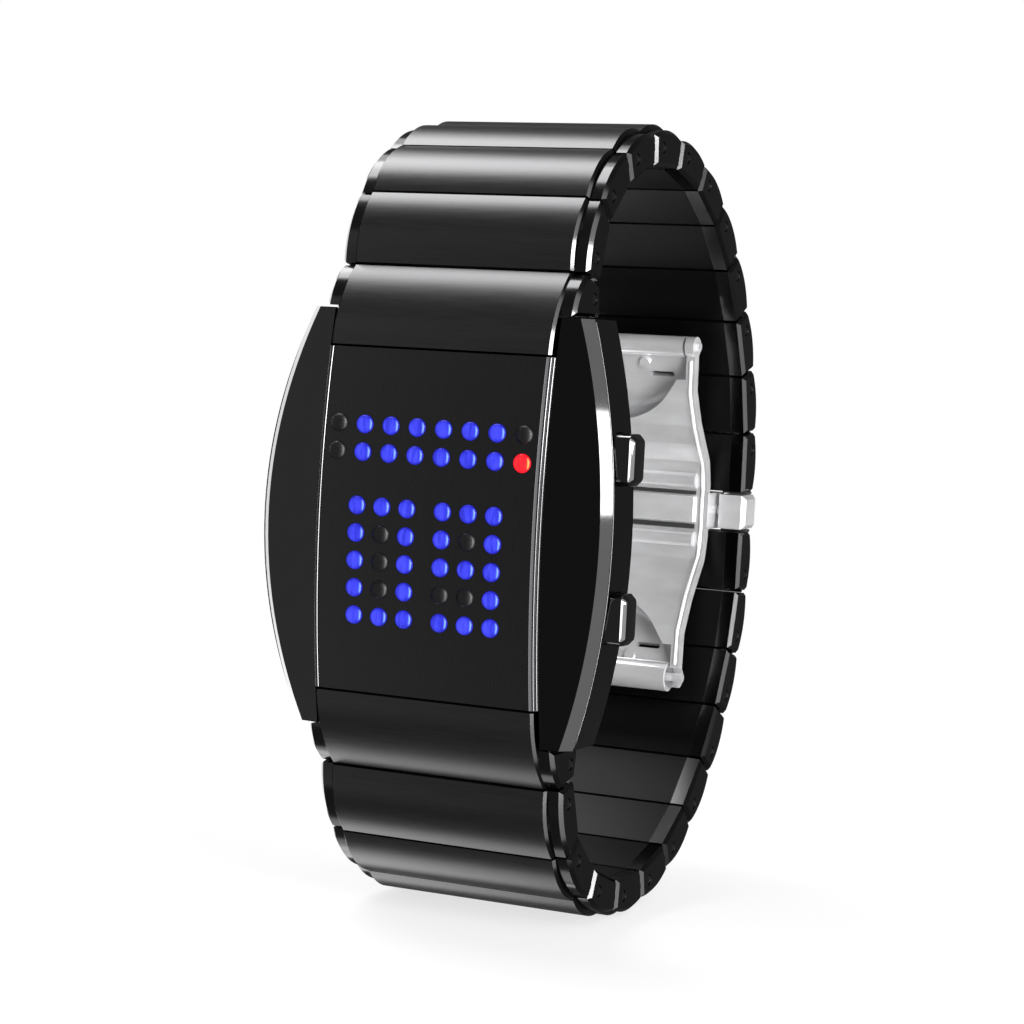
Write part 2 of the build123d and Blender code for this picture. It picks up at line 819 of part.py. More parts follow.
def make_blade(side, tube_radius, tube_bore, name):
    """A folding blade: a tube on the bridge's pin, a plate, and a neck with an eye in the last link."""
    hinge = (barrel.X, side * barrel.Y)
    shoulder = (depth(blade_shoulder_depth), side * blade_shoulder_height)
    throat = (depth(blade_throat_depth), side * blade_throat_height)
    eye = (tip.X, side * tip.Y)
    with BuildPart() as blade:
        with BuildSketch(Plane.YZ):
            with BuildLine() as plate_line:
                Line(hinge, shoulder)
            trace(plate_line.edges(), blade_gauge)
            with Locations(hinge):
                Circle(tube_radius)
        extrude(amount=blade_half_width, both=True)
        with BuildSketch(Plane.YZ):
            with BuildLine() as neck_line:
                Polyline(shoulder, throat, eye)
            trace(neck_line.edges(), blade_gauge)
            with Locations(eye):
                Circle(tip_radius)
        extrude(amount=tip_half_width, both=True)
        with BuildSketch(Plane.YZ):
            with Locations(hinge):
                Circle(tube_bore)
            with Locations(eye):
                Circle(tip_pin_radius + pin_run)
        extrude(amount=blade_half_width, both=True, mode=Mode.SUBTRACT)
        lean = Vector(0, shoulder[0] - hinge[0], shoulder[1] - hinge[1]).normalized()
        outwards = lean.cross(Vector(side, 0, 0))
        plate_face = Plane(origin=(0, hinge[0], hinge[1]), x_dir=(1, 0, 0), z_dir=outwards)
        along = side * (1 if plate_face.y_dir.dot(lean) > 0 else -1) * side
        with BuildSketch(plate_face.offset(-blade_gauge)):
            for end in (1, -1):
                with Locations((end * blade_slot_spread, along * blade_slot_place)):
                    SlotOverall(blade_slot_length, blade_slot_width)
        extrude(amount=blade_gauge * 2, mode=Mode.SUBTRACT)
        with BuildSketch(plate_face):
            for end in (1, -1):
                with Locations((end * rivet_spread, along * rivet_place)):
                    Circle(rivet_radius)
        extrude(amount=blade_gauge / 2 + rivet_height)
    write(blade.part, name)


make_blade(1, barrel_radius, barrel_bore, "upper_blade")
make_blade(-1, free_barrel_radius, free_barrel_bore, "lower_blade")


# Pushers at both ends of the centre block

for end, name in ((1, "right_pusher"), (-1, "left_pusher")):
    with BuildPart() as pusher:
        with BuildSketch(Plane.YZ.offset(end * pusher_inner)):
            with Locations((depth(pusher_depth), 0)):
                Rectangle(pusher_back_depth - pusher_front_depth, pusher_half_height * 2)
        extrude(amount=end * (pusher_outer - pusher_inner))
        outer = pusher.faces().sort_by(Axis.X)[-1 if end > 0 else 0]
        chamfer(outer.edges(), pusher_edge)
        with BuildSketch(Plane.YZ.offset(end * pusher_stem_inner)):
            with Locations((depth(pusher_depth), 0)):
                Circle(pusher_stem_radius)
        extrude(amount=end * (pusher_inner - pusher_stem_inner))
    write(pusher.part, name)

with BuildPart() as pusher_springs:
    spring_floor = pusher_stem_inner - pusher_travel - pusher_spring_length
    for end in (1, -1):
        with BuildSketch(Plane.YZ.offset(end * spring_floor)):
            with Locations((depth(pusher_depth), 0)):
                Circle(pusher_stem_radius)
                Circle(pusher_stem_radius - pusher_spring_gauge, mode=Mode.SUBTRACT)
        extrude(amount=end * (pusher_spring_length - slip))
write(pusher_springs.part, "pusher_springs")
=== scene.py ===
# %% [markdown]
# # A binary LED watch, dressed over its solid model
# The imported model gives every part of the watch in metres, in one frame: X points to
# 3 o'clock, Z to 12 o'clock and -Y out of the display. This lesson sets the camera and the
# light, models the lens of each LED and the small fittings, and gives each part its finish.
# The box round the solids is noted first, to be compared with the finished scene at the end.

# %% Load the frame
import math

import bpy
from mathutils import Matrix, Vector


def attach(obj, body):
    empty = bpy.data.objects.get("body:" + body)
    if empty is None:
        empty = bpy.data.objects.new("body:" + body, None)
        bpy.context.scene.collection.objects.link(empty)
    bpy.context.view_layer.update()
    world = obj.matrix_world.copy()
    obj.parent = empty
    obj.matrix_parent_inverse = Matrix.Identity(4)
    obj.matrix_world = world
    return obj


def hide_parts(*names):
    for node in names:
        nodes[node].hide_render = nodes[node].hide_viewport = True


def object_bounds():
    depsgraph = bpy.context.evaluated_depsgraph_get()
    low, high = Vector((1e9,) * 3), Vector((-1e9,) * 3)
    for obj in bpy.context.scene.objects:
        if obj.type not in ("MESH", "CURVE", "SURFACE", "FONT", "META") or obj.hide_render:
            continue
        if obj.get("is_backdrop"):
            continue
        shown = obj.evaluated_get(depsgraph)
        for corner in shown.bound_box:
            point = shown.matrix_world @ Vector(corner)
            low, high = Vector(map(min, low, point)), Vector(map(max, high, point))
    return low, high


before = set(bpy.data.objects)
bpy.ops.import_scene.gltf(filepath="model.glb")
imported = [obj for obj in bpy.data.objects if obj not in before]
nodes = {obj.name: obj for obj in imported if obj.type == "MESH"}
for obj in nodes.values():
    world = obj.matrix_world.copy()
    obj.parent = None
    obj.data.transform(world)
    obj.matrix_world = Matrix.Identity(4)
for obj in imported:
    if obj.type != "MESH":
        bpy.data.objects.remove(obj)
cad_box = [list(corner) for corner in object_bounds()]
MM = 0.001
print("CAD nodes:", len(nodes))

# %% [markdown]
# ## Camera
# The photograph was taken from a little above and to the right of the display, with a long
# lens that keeps the bars of the bracelet almost parallel. A constraint could aim the camera,
# but it couldn't roll it too. So its three axes are worked out from azimuth, elevation and
# roll, and it is drawn back along them from a point to the right of the display's middle.

# %% Camera
CAMERA_AZIMUTH = math.radians(24.616)
CAMERA_ELEVATION = math.radians(4.011)
CAMERA_ROLL = math.radians(2.873)
CAMERA_DISTANCE = 212.997 * MM
SHIFT_RIGHT = 7.58 * MM
SHIFT_UP = 1.215 * MM
AIM_DEPTH = 9.99 * MM
FOCAL_PIXELS = 2631.02
FRAME_PIXELS = 1024
SENSOR = 36.0
CLIP_NEAR = 0.01
CLIP_FAR = 10

back = Vector(
    (
        math.sin(CAMERA_AZIMUTH) * math.cos(CAMERA_ELEVATION),
        -math.cos(CAMERA_AZIMUTH) * math.cos(CAMERA_ELEVATION),
        math.sin(CAMERA_ELEVATION),
    )
)
level = Vector((0, 0, 1)).cross(back).normalized()
upright = back.cross(level)
right = level * math.cos(CAMERA_ROLL) + upright * math.sin(CAMERA_ROLL)
up = upright * math.cos(CAMERA_ROLL) - level * math.sin(CAMERA_ROLL)
camera_data = bpy.data.cameras.new("camera")
camera_data.sensor_width = SENSOR
camera_data.lens = FOCAL_PIXELS / FRAME_PIXELS * SENSOR
camera_data.clip_start = CLIP_NEAR
camera_data.clip_end = CLIP_FAR
camera = bpy.data.objects.new("camera", camera_data)
scene = bpy.context.scene
scene.collection.objects.link(camera)
camera.matrix_world = Matrix.Translation(
    right * SHIFT_RIGHT
    + up * SHIFT_UP
    + back * CAMERA_DISTANCE
    - Vector((0, AIM_DEPTH, 0))
) @ Matrix((right, up, back)).transposed().to_4x4()
scene.camera = camera
print("camera at", [round(v / MM, 2) for v in camera.matrix_world.translation])

# %% [markdown]
# ## Helpers for node trees
# The world, the floor and every finish are trees of nodes, and each tree repeats a few small
# steps. They could be wired one by one, but a helper for each step makes a tree read like a
# formula. An input takes either the output of another node or a plain value.


# %% Stretch a value
def feed(tree, port, value):
    """Give an input the output of another node, or else a plain value."""
    if isinstance(value, bpy.types.NodeSocket):
        tree.links.new(value, port)
    else:
        port.default_value = value


def stretched(tree, value, start, stop, low=0.0, high=1.0):
    """Stretch what lies between two limits to a new range, and hold the rest at its ends."""
    made = tree.nodes.new("ShaderNodeMapRange")
    settings = {"Value": value, "From Min": start, "From Max": stop, "To Min": low, "To Max": high}
    for port, setting in settings.items():
        feed(tree, made.inputs[port], setting)
    return made.outputs["Result"]


# %% [markdown]
# ## Arithmetic on nodes
# Numbers and vectors each have a node that does one step of arithmetic, chosen by its name.
# A script inside the shader could do several steps at once, but it would render slowly.


# %% Arithmetic on nodes
def arithmetic(tree, operation, *values):
    """One step of arithmetic on numbers."""
    made = tree.nodes.new("ShaderNodeMath")
    made.operation = operation
    for port, value in zip(made.inputs, values):
        feed(tree, port, value)
    return made.outputs["Value"]


def vector_arithmetic(tree, operation, *values):
    """One step of arithmetic on vectors; a length or a dot product comes out as a number."""
    made = tree.nodes.new("ShaderNodeVectorMath")
    made.operation = operation
    for port, value in zip(made.inputs, values):
        feed(tree, port, value)
    gives_number = operation in ("LENGTH", "DOT_PRODUCT")
    return made.outputs["Value" if gives_number else "Vector"]


# %% [markdown]
# ## World
# Black plating has no colour of its own to show: it is drawn by what it mirrors. The
# backdrop is white where the camera sees it, a plain grey for soft light, and almost black in
# mirrors, so that the lamps alone draw the bright lines. A picture of a studio could surround
# the watch, but three plain levels are easier to balance, and a Light Path node picks them.

# %% World
SOFT_LEVEL = 0.3
MIRROR_LEVEL = 0.07
BACKDROP_LEVEL = 1.0
scene.view_settings.view_transform = "Standard"
world = bpy.data.worlds.new("surround")
scene.world = world
world.use_nodes = True
tree = world.node_tree
background = tree.nodes["Background"]
background.inputs["Color"].default_value = (1, 1, 1, 1)
path = tree.nodes.new("ShaderNodeLightPath")
lighting = stretched(tree, path.outputs["Is Glossy Ray"], 0, 1, SOFT_LEVEL, MIRROR_LEVEL)
strength = stretched(tree, path.outputs["Is Camera Ray"], 0, 1, lighting, BACKDROP_LEVEL)
tree.links.new(strength, background.inputs["Strength"])
print("surround:", SOFT_LEVEL, "for light,", MIRROR_LEVEL, "in mirrors,", BACKDROP_LEVEL, "seen")

# %% [markdown]
# ## Soft boxes
# Each lamp is a studio soft box. It could be placed by hand until its mirror image looks
# right. Here it is placed by its direction, seen from the middle of the ring, and sized by the
# angle that it fills there, because these decide where its bright band falls on a curved bar.
# All boxes stand equally far away, and none is seen by the camera.

# %% Soft boxes
CENTRE = Vector((0, 15 * MM, 0))
BOX_DISTANCE = 0.5
SIDEWAYS = Vector((1, 0, 0))
UPWARD = Vector((0, 0, 1))


def soft_box(
    name, azimuth, elevation, across, high, radiance, upright_axis=UPWARD, shape="RECTANGLE"
):
    """A lamp that fills across by high degrees, seen from the middle of the ring."""
    turn, lift = math.radians(azimuth), math.radians(elevation)
    way = Vector(
        (
            math.sin(turn) * math.cos(lift),
            -math.cos(turn) * math.cos(lift),
            math.sin(lift),
        )
    )
    first = upright_axis.cross(way).normalized()
    second = way.cross(first)
    lamp = bpy.data.lights.new(name, "AREA")
    lamp.shape = shape
    lamp.size = 2 * BOX_DISTANCE * math.tan(math.radians(across) / 2)
    lamp.size_y = 2 * BOX_DISTANCE * math.tan(math.radians(high) / 2)
    lamp.energy = radiance * math.pi * lamp.size * lamp.size_y
    holder = bpy.data.objects.new(name, lamp)
    scene.collection.objects.link(holder)
    holder.matrix_world = (
        Matrix.Translation(CENTRE + way * BOX_DISTANCE)
        @ Matrix((first, second, way)).transposed().to_4x4()
    )
    holder.visible_camera = False
    print(name, "power", round(lamp.energy, 2))


# %% [markdown]
# ## What each soft box draws
# One big lamp would wash over every part at once, so each bright line of the photo has its own
# box. The box above brightens the upper bars, and the one below the lowest bars. The key and
# the spark light the bevel at the right, and the fill softens the links and the clasp beside
# them. The two boxes at the left draw the rim of the left wing and lift the side of the case.

# %% What each soft box draws
soft_box(
    "box_above",
    azimuth=-96.5,
    elevation=71,
    across=25,
    high=40,
    radiance=5.5,
    upright_axis=SIDEWAYS,
)
soft_box(
    "box_below",
    azimuth=-96.5,
    elevation=-69,
    across=18,
    high=40,
    radiance=1.05,
    upright_axis=SIDEWAYS,
)
soft_box("box_key", azimuth=51, elevation=0, across=22, high=95, radiance=9.0)
soft_box(
    "box_spark", azimuth=66, elevation=12, across=14, high=22, radiance=14.0, shape="ELLIPSE"
)
soft_box("box_fill", azimuth=73, elevation=0, across=26, high=95, radiance=1.3)
soft_box("box_left_back", azimuth=-114, elevation=0, across=44, high=125, radiance=2.3)
soft_box("box_left", azimuth=-46, elevation=0, across=36, high=70, radiance=0.2)

# %% [markdown]
# ## Floor
# A light table carries the ring. A plain white floor would hide the lamp below and show in the
# bars, so this one casts no shadow of its own, and mirrors don't see it.

# %% Floor
FLOOR_SIZE = 8
FLOOR_GAP = 0.02 * MM

floor_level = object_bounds()[0].z
bpy.ops.object.select_all(action="DESELECT")
bpy.ops.mesh.primitive_plane_add(size=FLOOR_SIZE, location=(0, 0, floor_level - FLOOR_GAP))
floor = bpy.context.object
floor.name = "floor"
floor.data.transform(floor.matrix_world)
floor.matrix_world = Matrix.Identity(4)
floor.visible_glossy = False
floor.visible_shadow = False
floor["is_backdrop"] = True
print("floor at z", round(floor_level / MM, 2))

# %% [markdown]
# ## Floor's paint
# The camera sees the table near white, with a faint shadow under the watch that fades with
# distance. A matt white alone would look grey far from the lamps, so for the camera most of the
# light is emitted: seven tenths of it close to the watch, and all of it further away.

# %% Floor's paint
FLOOR_TONE = 0.9
FADE_START = 0.04
FADE_END = 0.16
NEAR_GLOW = 0.7

floor_paint = bpy.data.materials.new("floor_paint")
floor_paint.use_nodes = True
tree = floor_paint.node_tree
tree.nodes.clear()
output = tree.nodes.new("ShaderNodeOutputMaterial")
matt = tree.nodes.new("ShaderNodeBsdfDiffuse")
matt.inputs["Color"].default_value = (FLOOR_TONE, FLOOR_TONE, FLOOR_TONE, 1)
lit = tree.nodes.new("ShaderNodeEmission")
place = tree.nodes.new("ShaderNodeTexCoord")
path = tree.nodes.new("ShaderNodeLightPath")
reach = vector_arithmetic(tree, "LENGTH", place.outputs["Object"])
fade = stretched(tree, reach, FADE_START, FADE_END, NEAR_GLOW, 1.0)
glowing = arithmetic(tree, "MULTIPLY", path.outputs["Is Camera Ray"], fade)
chosen = tree.nodes.new("ShaderNodeMixShader")
tree.links.new(glowing, chosen.inputs["Fac"])
tree.links.new(matt.outputs["BSDF"], chosen.inputs[1])
tree.links.new(lit.outputs["Emission"], chosen.inputs[2])
tree.links.new(chosen.outputs["Shader"], output.inputs["Surface"])
floor.data.materials.append(floor_paint)
print("floor's paint fades from", FADE_START, "to", FADE_END, "metres from the watch's origin")

# %% [markdown]
# ## Parts of a finish
# Real plating is never quite even. Noise stretched along the grain stands for its brushing: it
# could be painted as an image, but noise needs no file and never shows a seam. The Mix node
# turns it into shades of a colour.

# %% Parts of a finish
MIX_PORTS = {"FLOAT": (2, 3, 0), "RGBA": (6, 7, 2)}


def mixed(tree, kind, mask, first, second):
    """Mix two numbers or two colours by a mask; the Mix node has its own ports for each."""
    made = tree.nodes.new("ShaderNodeMix")
    made.data_type = kind
    first_port, second_port, output_port = MIX_PORTS[kind]
    tree.links.new(mask, made.inputs[0])
    feed(tree, made.inputs[first_port], first)
    feed(tree, made.inputs[second_port], second)
    return made.outputs[output_port]


def grain_noise(tree, place, grain, scale, detail):
    """Noise on a piece's own coordinates, stretched along its grain."""
    stretch = tree.nodes.new("ShaderNodeMapping")
    stretch.inputs["Scale"].default_value = grain
    tree.links.new(place.outputs["Object"], stretch.inputs["Vector"])
    noise = tree.nodes.new("ShaderNodeTexNoise")
    noise.inputs["Scale"].default_value = scale
    noise.inputs["Detail"].default_value = detail
    tree.links.new(stretch.outputs["Vector"], noise.inputs["Vector"])
    return noise.outputs["Fac"]


def split(tree, vector):
    """The three components of a vector, as outputs named X, Y and Z."""
    apart = tree.nodes.new("ShaderNodeSeparateXYZ")
    tree.links.new(vector, apart.inputs["Vector"])
    return apart.outputs


# %% [markdown]
# ## Zones of a finish
# Some parts have polished edges round a satin face: there a mask is drawn from the distance to
# the watch's middle plane. The side of a link that lies on the wrist is coarser, and its colour is
# darker as painted shade for the inside of the ring: there the mask is how far the surface faces
# the ring's middle. Parts could be cut up into zones, but a mask leaves the meshes whole.

# %% Zones of a finish
INSIDE_LIMITS = (0.76, 0.8)


def facing_middle(tree, place):
    """How far a surface faces the middle line of the ring: 1 where it faces it squarely."""
    inward = vector_arithmetic(tree, "SUBTRACT", CENTRE, place.outputs["Object"])
    across = vector_arithmetic(tree, "MULTIPLY", inward, (0, 1, 1))
    direction = vector_arithmetic(tree, "NORMALIZE", across)
    return vector_arithmetic(tree, "DOT_PRODUCT", direction, place.outputs["Normal"])


def zones(tree, place, polish, inside):
    """The mask, colour and roughness of each zone that differs from the rest of a part."""
    found = []
    if inside:
        # Painted shade: the side facing the ring's middle takes the darker inside colour.
        mask = stretched(tree, facing_middle(tree, place), *INSIDE_LIMITS)
        found.append((mask, *inside))
    if polish:
        start, stop, *edge = polish
        aside = arithmetic(tree, "ABSOLUTE", split(tree, place.outputs["Object"])["X"])
        found.append((stretched(tree, aside, start, stop), *edge))
    return found


# %% [markdown]
# ## One finish
# A finish is one shader, whose colour, roughness and relief all wander with the same noise, and
# whose zones are blended in by their masks. Each material could be wired by itself, but one
# helper keeps them alike, so that only what differs is said where a finish is made.

# %% One finish
FINISH_SCALE = 10.0
FINISH_DETAIL = 3.0
ROUGHNESS_SPREAD = 0.15
RELIEF_DEPTH = 0.01 * MM
COAT_ROUGHNESS = 0.04


def finish(
    name,
    colour,
    metallic,
    roughness,
    grain=(400, 400, 400),
    bump=0.1,
    tint=0.15,
    coat=0.0,
    polish=None,
    inside=None,
):
    """A material that wanders along its grain.

    polish = (from, to, colour, roughness) past a distance to the sides, and
    inside = (colour, roughness) where the surface faces the ring's middle, a darker colour
    that is painted shade.
    """
    made = bpy.data.materials.new(name)
    made.use_nodes = True
    tree = made.node_tree
    shader = tree.nodes["Principled BSDF"]
    place = tree.nodes.new("ShaderNodeTexCoord")
    wander = grain_noise(tree, place, grain, FINISH_SCALE, FINISH_DETAIL)
    shades = [(*[part * (1 + change) for part in colour], 1) for change in (-tint, tint)]
    colour_out = mixed(tree, "RGBA", wander, *shades)
    limits = [roughness * (1 + change) for change in (-ROUGHNESS_SPREAD, ROUGHNESS_SPREAD)]
    roughness_out = stretched(tree, wander, 0, 1, *limits)
    for mask, zone_colour, zone_roughness in zones(tree, place, polish, inside):
        colour_out = mixed(tree, "RGBA", mask, colour_out, (*zone_colour, 1))
        roughness_out = mixed(tree, "FLOAT", mask, roughness_out, zone_roughness)
    relief = tree.nodes.new("ShaderNodeBump")
    relief.inputs["Strength"].default_value = bump
    relief.inputs["Distance"].default_value = RELIEF_DEPTH
    tree.links.new(wander, relief.inputs["Height"])
    settings = {
        "Metallic": metallic,
        "Coat Weight": coat,
        "Coat Roughness": COAT_ROUGHNESS,
        "Roughness": roughness_out,
        "Base Color": colour_out,
        "Normal": relief.outputs["Normal"],
    }
    for port, setting in settings.items():
        feed(tree, shader.inputs[port], setting)
    return made


# %% [markdown]
# ## Black finishes
# The case and its small lines are polished black, the bracelet's bars are satin with polished
# ears, and the plate is brushed from top to bottom, so its grain is fine across and long down.
# The black could be a dark paint, but black plating mirrors as metal does, so it is a metal
# with a very dark colour.

# %% Black finishes
FINE = {"grain": (60, 60, 60), "bump": 0.02, "tint": 0.06}
EAR_LIMITS = (9.72 * MM, 9.8 * MM)
PLATE_LIMITS = (9.62 * MM, 9.68 * MM)

black_mirror = finish(
    "black_mirror", (0.085, 0.085, 0.087), metallic=1.0, roughness=0.07, **FINE
)
satin_black = finish(
    "satin_black",
    (0.118, 0.118, 0.12),
    metallic=1.0,
    roughness=0.31,
    grain=(30, 900, 900),
    bump=0.08,
    polish=(*EAR_LIMITS, (0.1, 0.1, 0.102), 0.15),
    # On the wrist side: rougher, and darker as painted shade inside the ring.
    inside=((0.02, 0.02, 0.0205), 0.42),
)
brushed_black = finish(
    "brushed_black",
    (0.105, 0.105, 0.107),
    metallic=1.0,
    roughness=0.28,
    grain=(2500, 0, 60),
    bump=0.3,
    polish=(*PLATE_LIMITS, (0.02, 0.02, 0.021), 0.12),
)
bead_black = finish("bead_black", (0.2, 0.2, 0.204), metallic=1.0, roughness=0.1, **FINE)
button_black = finish("button_black", (0.2, 0.2, 0.204), metallic=1.0, roughness=0.08, **FINE)
print("with the black finishes:", len(bpy.data.materials), "materials")

# %% [markdown]
# ## Steel finishes
# The clasp is bare polished steel, and its rails are brighter still. As a pure metal it would
# mirror the dark surround and look black, so a part of each shader is left matt and pale, as
# if a bright room stood behind the camera. The screws and the small parts inside are plain
# steel.

# %% Steel finishes
polished_steel = finish(
    "polished_steel",
    (0.82, 0.82, 0.83),
    metallic=0.65,
    roughness=0.16,
    grain=(25, 40, 60),
    bump=0.02,
    tint=0.2,
)
rail_steel = finish(
    "rail_steel",
    (0.93, 0.93, 0.94),
    metallic=0.4,
    roughness=0.16,
    grain=(60, 60, 60),
    bump=0.02,
    tint=0.03,
)
bright_steel = finish("bright_steel", (0.6, 0.6, 0.62), metallic=1.0, roughness=0.25)
print("with the steel finishes:", len(bpy.data.materials), "materials")

# %% [markdown]
# ## Lens glow
# A lit lens glows all through: brightest in its middle, where the chip shines straight out, and
# deeper towards its rim, and the glow wanders a little from lens to lens, as the light of real
# LEDs does. A paler curved patch on its right shoulder is a painted highlight, where the lamps
# at the right would shine back off the dome. A lamp behind clear resin would be slow to render,
# so the lens itself emits, by the direction in which its surface faces.

# %% Lens glow
LENS_GRAIN = (3000, 1500, 500)
LENS_SCALE = 1.0
LENS_DETAIL = 2.0
LENS_SHINE = 0.2
MIDDLE_LIMITS = (-0.66, -0.97)
STREAK_LIMITS = (0.35, 0.65, 0.3, 1.0)
# Bounds of the painted highlight on each lens, by the direction in which its surface faces.
HIGHLIGHT_INNER = (0.42, 0.56)
HIGHLIGHT_OUTER = (0.66, 0.78, 1.0, 0.0)
HIGHLIGHT_TIPS = (0.15, 0.55, 1.0, 0.0)


def glow(material, dim, bright, painted_highlight):
    """Let a finish emit: dim at the rim, bright in the middle, with a painted highlight at the
    right.
    """
    tree = material.node_tree
    shader = tree.nodes["Principled BSDF"]
    place = tree.nodes.new("ShaderNodeTexCoord")
    wander = grain_noise(tree, place, LENS_GRAIN, LENS_SCALE, LENS_DETAIL)
    facing = split(tree, place.outputs["Normal"])
    middle = stretched(tree, facing["Y"], *MIDDLE_LIMITS)
    streaks = stretched(tree, wander, *STREAK_LIMITS)
    lit = arithmetic(tree, "MULTIPLY", middle, streaks)
    shades = mixed(tree, "RGBA", lit, (*dim, 1), (*bright, 1))
    # Painted highlight: a paler patch where the lens's surface faces to the right.
    inner = stretched(tree, facing["X"], *HIGHLIGHT_INNER)
    outer = stretched(tree, facing["X"], *HIGHLIGHT_OUTER)
    tips = stretched(tree, arithmetic(tree, "ABSOLUTE", facing["Z"]), *HIGHLIGHT_TIPS)
    arc = arithmetic(tree, "MULTIPLY", arithmetic(tree, "MULTIPLY", inner, outer), tips)
    shown = mixed(tree, "RGBA", arc, shades, (*painted_highlight, 1))
    tree.links.new(shown, shader.inputs["Emission Color"])
    shader.inputs["Emission Strength"].default_value = 1.0
    shader.inputs["Specular IOR Level"].default_value = LENS_SHINE


# %% [markdown]
# ## Finishes of the lenses and the inside
# The blue and red lenses are lit and the dark ones are off. A lens that is off could be clear,
# but in the photo it shows only the dark hole behind it, so it is nearly black with a faint
# gloss. The board, the plastic and the rubber are inside or small, and need plain finishes only.

# %% Finishes of the lenses and the inside
blue_lens = finish("blue_lens", (0.005, 0.005, 0.1), metallic=0.0, roughness=0.2)
# The last colour of each glow is the painted highlight on the lens's right shoulder.
glow(blue_lens, dim=(0.012, 0.014, 0.4), bright=(0.07, 0.085, 1.0), painted_highlight=(0.19, 0.42, 1.0))
red_lens = finish("red_lens", (0.2, 0.005, 0.01), metallic=0.0, roughness=0.2)
glow(red_lens, dim=(1.0, 0.002, 0.015), bright=(1.0, 0.03, 0.03), painted_highlight=(1.0, 0.55, 0.06))
dark_lens = finish("dark_lens", (0.003, 0.003, 0.0035), metallic=0.0, roughness=0.45, coat=0.1)
board_green = finish("board_green", (0.02, 0.1, 0.05), metallic=0.0, roughness=0.35)
black_plastic = finish("black_plastic", (0.02, 0.02, 0.02), metallic=0.0, roughness=0.5)
seal_rubber = finish("seal_rubber", (0.02, 0.02, 0.02), metallic=0.0, roughness=0.8)
print("with the lenses and the inside:", len(bpy.data.materials), "materials")

# %% [markdown]
# ## Cut a piece in half
# Domes and half-round bars all start as a whole ball or cylinder, cut through its middle.
# Blender's operators work on what is selected and active, so a helper starts by picking its
# piece. The cut's threshold has to be far smaller than the watch's details, because whatever is
# nearer to the cut than that counts as lying on it.

# %% Cut a piece in half
SMOOTH_ANGLE = math.radians(35)
CUT_THRESHOLD = 1e-7


def only(piece):
    """Make one object the only selected and the active one."""
    bpy.ops.object.select_all(action="DESELECT")
    piece.select_set(True)
    bpy.context.view_layer.objects.active = piece


def keep_half(piece, towards):
    """Cut a piece through the origin, keep the half on one side and close it."""
    only(piece)
    bpy.ops.object.mode_set(mode="EDIT")
    bpy.ops.mesh.select_all(action="SELECT")
    bpy.ops.mesh.bisect(
        plane_co=(0, 0, 0),
        plane_no=towards,
        use_fill=True,
        clear_inner=True,
        threshold=CUT_THRESHOLD,
    )
    bpy.ops.object.mode_set(mode="OBJECT")


# %% [markdown]
# ## Copy, join and fit
# Repeated shapes are modelled once, copied to their places and joined. Then each new piece gets
# a name, a finish and the body that it moves with. The same few lines could follow every piece,
# but as helpers they are written once.


# %% Copy, join and fit
def duplicate(source):
    """A copy of an object with its own mesh."""
    copy = source.copy()
    copy.data = source.data.copy()
    scene.collection.objects.link(copy)
    return copy


def joined(parts):
    """Join objects into the first of them."""
    only(parts[0])
    for part in parts:
        part.select_set(True)
    if len(parts) > 1:
        bpy.ops.object.join()
    return bpy.context.object


def fitted(piece, name, paint, body):
    """Name a piece, give it its finish as its one material, and let it ride on a body."""
    piece.name = name
    piece.data.materials.clear()
    piece.data.materials.append(paint)
    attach(piece, body)


# %% [markdown]
# ## One LED lens
# A real LED ends in a clear dome of cast epoxy, which stands a little proud of its hole. The
# dome could be turned from a profile. Half of a flattened sphere is quicker and as round:
# everything under its equator is cut away, and the open rim is stepped in and drawn back to the
# board as a round body.

# %% One LED lens
LENS_RADIUS = 0.77 * MM
LENS_PROUD = 0.38 * MM
BODY_STEP = 0.05 * MM
BODY_LENGTH = 2.0 * MM

bpy.ops.object.select_all(action="DESELECT")
bpy.ops.mesh.primitive_uv_sphere_add(segments=40, ring_count=32, radius=LENS_RADIUS)
lens = bpy.context.object
lens.name = "lens"
keep_half(lens, towards=(0, 0, 1))
bpy.ops.object.mode_set(mode="EDIT")
bpy.ops.mesh.inset(thickness=BODY_STEP)
bpy.ops.mesh.extrude_region_move(TRANSFORM_OT_translate={"value": (0, 0, -BODY_LENGTH)})
bpy.ops.mesh.select_all(action="SELECT")
bpy.ops.mesh.normals_make_consistent(inside=False)
bpy.ops.object.mode_set(mode="OBJECT")
lens.scale = (1, 1, LENS_PROUD / LENS_RADIUS)
bpy.ops.object.transform_apply(location=False, rotation=False, scale=True)
lens.rotation_euler = (math.radians(90), 0, 0)
bpy.ops.object.transform_apply(location=False, rotation=True, scale=False)
bpy.ops.object.shade_smooth_by_angle(angle=SMOOTH_ANGLE)
ys = [vertex.co.y for vertex in lens.data.vertices]
print("lens:", len(lens.data.polygons), "faces, y from", min(ys) / MM, "to", max(ys) / MM)

# %% [markdown]
# ## The display's pattern
# The display is two rows of eight lenses over two digits of three by five. The places could be
# typed in one by one, but rows of marks show the pattern as it looks, and the pitches between
# the rows and the columns do the rest.

# %% Pattern
LED_ROW_PITCH = 2.273 * MM
TOP_PITCH = 2.4 * MM
DIGIT_PITCH = 2.3 * MM
DIGIT_GAP = 3.245 * MM
TOP_ROW_HEIGHT = 7.97 * MM
DIGIT_ROW_HEIGHT = 1.3 * MM
TOP_ROWS = (".bbbbbb.", ".bbbbbbr")
ZERO = ("111", "101", "101", "101", "111")
NINE = ("111", "101", "111", "001", "111")
LIT = {"b": "blue", "r": "red", ".": "dark", "1": "blue", "0": "dark"}

